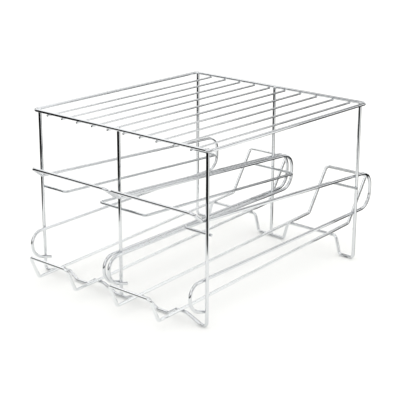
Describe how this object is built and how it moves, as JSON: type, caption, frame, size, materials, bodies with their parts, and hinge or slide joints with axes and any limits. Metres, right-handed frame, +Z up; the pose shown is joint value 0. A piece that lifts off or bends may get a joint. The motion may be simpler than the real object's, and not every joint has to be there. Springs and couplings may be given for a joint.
{
  "type": "can dispenser rack",
  "caption": "Free-standing chrome wire rack with side-by-side can lanes on an upper and a lower sloping tier, joined by an open drop at the back, under a flat wire shelf.",
  "frame": {"origin": "centre of the bounding box's base, on the surface the rack stands on", "axes": "+Z up; +X to the right lane as seen from the front; -Y towards the front, where cans are put in and taken out"},
  "size_m": [0.3012, 0.4492, 0.2215],
  "materials": {
    "main_wire": "bright chrome plating on drawn steel wire",
    "track_wire": "bright chrome plating on thinner drawn steel wire",
    "thin_wire": "bright chrome plating on the thin shelf wires"
  },
  "bodies": {
    "root": {"shelf_frame": "main_wire", "front_end_frame": "main_wire", "rear_end_frame": "main_wire", "front_middle_post": "main_wire", "rear_middle_post": "main_wire", "left_can_guide": "main_wire", "right_can_guide": "main_wire", "left_lower_track": "main_wire", "right_lower_track": "main_wire", "left_upper_track": "track_wire", "middle_upper_track": "track_wire", "right_upper_track": "track_wire", "shelf_wire_01": "thin_wire", "shelf_wire_02": "thin_wire", "shelf_wire_03": "thin_wire", "shelf_wire_04": "thin_wire", "shelf_wire_05": "thin_wire", "shelf_wire_06": "thin_wire", "shelf_wire_07": "thin_wire", "shelf_wire_08": "thin_wire", "shelf_wire_09": "thin_wire", "shelf_wire_10": "thin_wire"}
  },
  "joints": []
}
